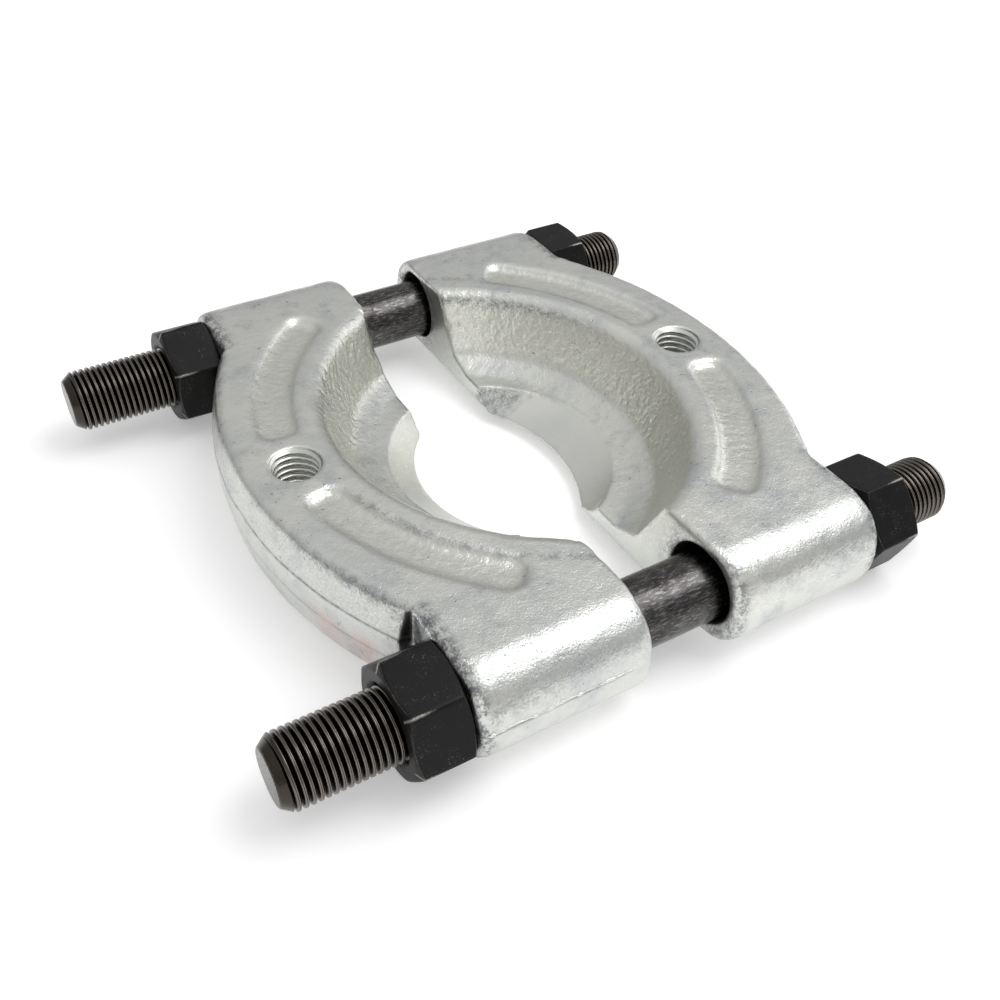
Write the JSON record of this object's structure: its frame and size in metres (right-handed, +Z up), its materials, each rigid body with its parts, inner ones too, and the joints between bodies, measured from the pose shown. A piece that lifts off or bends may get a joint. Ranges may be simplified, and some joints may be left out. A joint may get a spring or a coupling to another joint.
{
  "type": "bearing separator",
  "caption": "Bearing separator: forged half-round jaws with bevelled lips, drawn together on long studs by hexagon nuts, with tapped holes for a puller.",
  "frame": {"origin": "middle of the opening between the jaws, midway between the studs, on the jaws' flat bottom", "axes": "+X along the studs towards their short ends, +Y across the studs, +Z up through the opening, out of the bearing recess"},
  "size_m": [0.1741, 0.1611, 0.0278],
  "materials": {
    "forged_jaw": "zinc plated, rough forged",
    "stud_steel": "black oxide, satin",
    "nut_steel": "black oxide, satin"
  },
  "bodies": {
    "right_jaw": {"jaw_right": "forged_jaw"},
    "left_jaw": {"jaw_left": "forged_jaw"},
    "front_stud": {"stud_front": "stud_steel"},
    "back_stud": {"stud_back": "stud_steel"},
    "right_front_nut": {"nut_right_front": "nut_steel"},
    "right_back_nut": {"nut_right_back": "nut_steel"},
    "left_front_nut": {"nut_left_front": "nut_steel"},
    "left_back_nut": {"nut_left_back": "nut_steel"}
  },
  "joints": [
    {"name": "front_stud_slide", "type": "slide", "parent": "right_jaw", "child": "front_stud", "axis": [1, 0, 0], "range_m": [-0.015, 0]},
    {"name": "back_stud_slide", "type": "slide", "parent": "right_jaw", "child": "back_stud", "axis": [1, 0, 0], "range_m": [-0.015, 0]},
    {"name": "right_front_nut_turn", "type": "hinge", "parent": "right_jaw", "child": "right_front_nut", "pos_m": [0.0525, -0.0668, 0.011], "axis": [1, 0, 0], "range_deg": [0, 3602]},
    {"name": "right_back_nut_turn", "type": "hinge", "parent": "right_jaw", "child": "right_back_nut", "pos_m": [0.0525, 0.0668, 0.011], "axis": [1, 0, 0], "range_deg": [0, 3602]},
    {"name": "left_jaw_slide", "type": "slide", "parent": "front_stud", "child": "left_jaw", "axis": [1, 0, 0], "range_m": [-0.0232, 0.02145]},
    {"name": "left_front_nut_turn", "type": "hinge", "parent": "left_jaw", "child": "left_front_nut", "pos_m": [-0.0525, -0.0668, 0.011], "axis": [1, 0, 0], "range_deg": [-5570, 5150]},
    {"name": "left_back_nut_turn", "type": "hinge", "parent": "left_jaw", "child": "left_back_nut", "pos_m": [-0.0525, 0.0668, 0.011], "axis": [1, 0, 0], "range_deg": [-5570, 5150]}
  ],
  "couplings": [
    {"joint": "back_stud_slide", "follows": "front_stud_slide", "ratio": 1},
    {"joint": "right_front_nut_turn", "follows": "front_stud_slide", "rad_per_m": -4188.8},
    {"joint": "right_back_nut_turn", "follows": "front_stud_slide", "rad_per_m": -4188.8},
    {"joint": "left_front_nut_turn", "follows": "left_jaw_slide", "rad_per_m": 4188.8},
    {"joint": "left_back_nut_turn", "follows": "left_jaw_slide", "rad_per_m": 4188.8}
  ]
}
